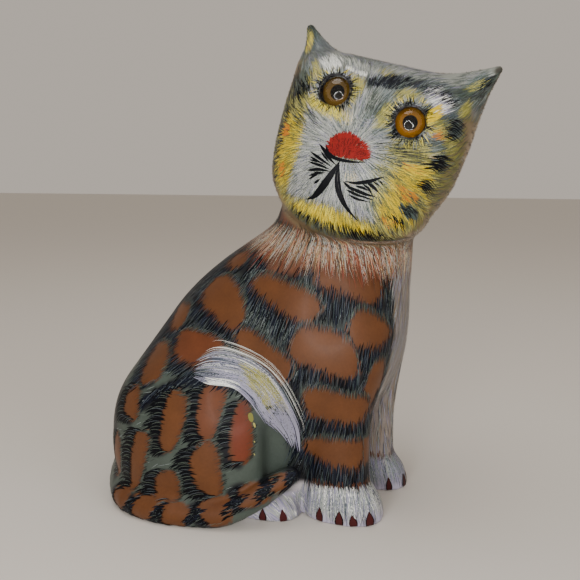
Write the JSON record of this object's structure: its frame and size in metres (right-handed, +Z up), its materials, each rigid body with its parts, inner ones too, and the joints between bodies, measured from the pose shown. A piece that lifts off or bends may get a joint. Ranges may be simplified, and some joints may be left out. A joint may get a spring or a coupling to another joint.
{
  "type": "painted wooden cat figurine",
  "caption": "Sitting cat carved from solid wood with its head turned and tipped to one side, tail wrapped along its right side, and set-in domed glass eyes.",
  "frame": {"origin": "on the flat underside, on the body's mid-plane, below the middle of the seat", "axes": "+Z up, the longest extent; -Y the way the chest and front paws face; the body's side-to-side direction is X, the shortest extent, and the face looks towards -X"},
  "size_m": [0.077, 0.1259, 0.145],
  "materials": {
    "painted_wood": "carved softwood painted in fine brush strokes under satin varnish",
    "amber_glass": "polished clear glass over an amber iris with a black pupil"
  },
  "bodies": {
    "root": {"cat": "painted_wood", "eye_right": "amber_glass", "eye_left": "amber_glass"}
  },
  "joints": []
}
